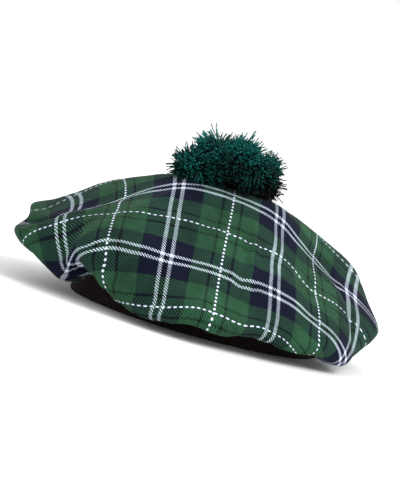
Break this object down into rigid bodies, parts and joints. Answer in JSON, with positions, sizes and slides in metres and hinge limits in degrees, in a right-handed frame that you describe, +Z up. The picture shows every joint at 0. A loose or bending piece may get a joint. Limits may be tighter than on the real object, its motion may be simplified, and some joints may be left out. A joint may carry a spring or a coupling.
{
  "type": "tam o'shanter hat",
  "caption": "Floppy green tartan tam o'shanter with a plain dark headband, a turned-under rim with soft folds, and a squashed teal-green yarn pompom.",
  "frame": {"origin": "middle of the hat's box, on the plane of the headband's bottom edge that the hat stands on", "axes": "+Z up through the pompom, -Y towards the side that the picture shows as the front, +X to the right of someone who looks at that side"},
  "size_m": [0.2847, 0.2657, 0.1466],
  "materials": {
    "tartan_cloth": "matt woven twill",
    "band_cloth": "matt ribbed",
    "pompom_yarn": "soft cut yarn"
  },
  "bodies": {
    "root": {"crown": "tartan_cloth", "headband": "band_cloth", "pompom": "pompom_yarn"}
  },
  "joints": []
}
